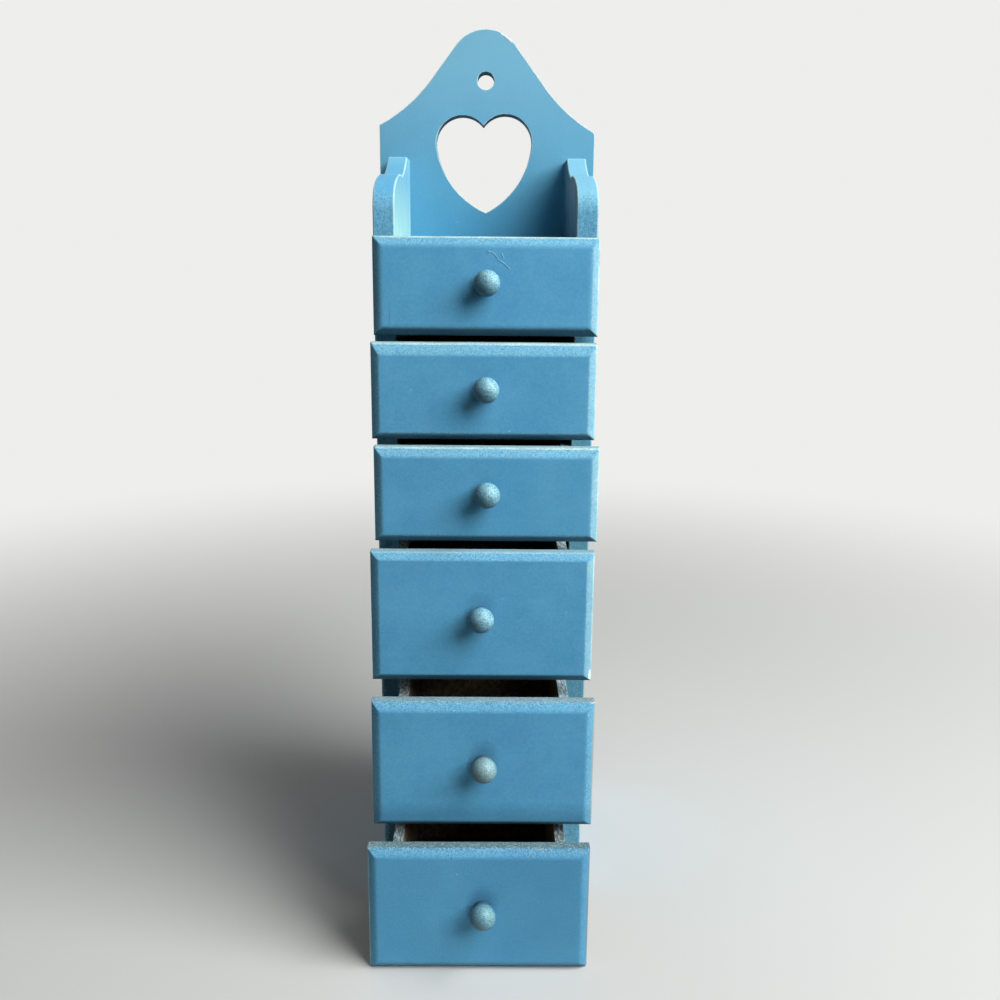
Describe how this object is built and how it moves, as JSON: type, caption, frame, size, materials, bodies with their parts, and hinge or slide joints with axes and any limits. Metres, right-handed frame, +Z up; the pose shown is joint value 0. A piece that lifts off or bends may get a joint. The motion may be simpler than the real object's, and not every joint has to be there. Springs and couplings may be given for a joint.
{
  "type": "spice drawer cabinet",
  "caption": "Narrow tabletop spice cabinet with a column of sliding drawers with ball knobs, an open tray above them and a crowned back board with a heart cut-out and a hanging hole.",
  "frame": {"origin": "on the surface that the cabinet stands on, in the middle of the case's width and of its depth over the back board", "axes": "+X to the right seen from the front, +Y from the fronts to the back board, +Z up"},
  "size_m": [0.1232, 0.1983, 0.4728],
  "materials": {
    "case_paint": "matte chalky blue paint over wood, worn at the edges",
    "front_paint": "matte chalky blue paint over wood, rubbed pale along the bevels",
    "knob_paint": "matte blue paint, rubbed and mottled",
    "drawer_box_wood": "bare sawn wood, dusty and greyed",
    "steel_pins": "dull steel panel pins"
  },
  "bodies": {
    "carcase": {"back_board": "case_paint", "left_side": "case_paint", "right_side": "case_paint", "bottom_board": "case_paint", "tray_floor": "case_paint", "divider_1": "case_paint", "divider_2": "case_paint", "divider_3": "case_paint", "divider_4": "case_paint", "divider_5": "case_paint", "side_brads": "steel_pins", "back_brads": "steel_pins"},
    "drawer_1": {"drawer_1_front": "front_paint", "drawer_1_left": "drawer_box_wood", "drawer_1_right": "drawer_box_wood", "drawer_1_back": "drawer_box_wood", "drawer_1_bottom": "drawer_box_wood", "drawer_1_brads": "steel_pins", "drawer_1_knob": "knob_paint"},
    "drawer_2": {"drawer_2_front": "front_paint", "drawer_2_left": "drawer_box_wood", "drawer_2_right": "drawer_box_wood", "drawer_2_back": "drawer_box_wood", "drawer_2_bottom": "drawer_box_wood", "drawer_2_brads": "steel_pins", "drawer_2_knob": "knob_paint"},
    "drawer_3": {"drawer_3_front": "front_paint", "drawer_3_left": "drawer_box_wood", "drawer_3_right": "drawer_box_wood", "drawer_3_back": "drawer_box_wood", "drawer_3_bottom": "drawer_box_wood", "drawer_3_brads": "steel_pins", "drawer_3_knob": "knob_paint"},
    "drawer_4": {"drawer_4_front": "front_paint", "drawer_4_left": "drawer_box_wood", "drawer_4_right": "drawer_box_wood", "drawer_4_back": "drawer_box_wood", "drawer_4_bottom": "drawer_box_wood", "drawer_4_brads": "steel_pins", "drawer_4_knob": "knob_paint"},
    "drawer_5": {"drawer_5_front": "front_paint", "drawer_5_left": "drawer_box_wood", "drawer_5_right": "drawer_box_wood", "drawer_5_back": "drawer_box_wood", "drawer_5_bottom": "drawer_box_wood", "drawer_5_brads": "steel_pins", "drawer_5_knob": "knob_paint"},
    "drawer_6": {"drawer_6_front": "front_paint", "drawer_6_left": "drawer_box_wood", "drawer_6_right": "drawer_box_wood", "drawer_6_back": "drawer_box_wood", "drawer_6_bottom": "drawer_box_wood", "drawer_6_brads": "steel_pins", "drawer_6_knob": "knob_paint"}
  },
  "joints": [
    {"name": "drawer_1_slide", "type": "slide", "parent": "carcase", "child": "drawer_1", "axis": [0, -1, 0], "range_m": [-0.0055, 0.0743]},
    {"name": "drawer_2_slide", "type": "slide", "parent": "carcase", "child": "drawer_2", "axis": [0, -1, 0], "range_m": [-0.0143, 0.0655]},
    {"name": "drawer_3_slide", "type": "slide", "parent": "carcase", "child": "drawer_3", "axis": [0, -1, 0], "range_m": [-0.0241, 0.0557]},
    {"name": "drawer_4_slide", "type": "slide", "parent": "carcase", "child": "drawer_4", "axis": [0, -1, 0], "range_m": [-0.0326, 0.0472]},
    {"name": "drawer_5_slide", "type": "slide", "parent": "carcase", "child": "drawer_5", "axis": [0, -1, 0], "range_m": [-0.0474, 0.0324]},
    {"name": "drawer_6_slide", "type": "slide", "parent": "carcase", "child": "drawer_6", "axis": [0, -1, 0], "range_m": [-0.0619, 0.0179]}
  ]
}
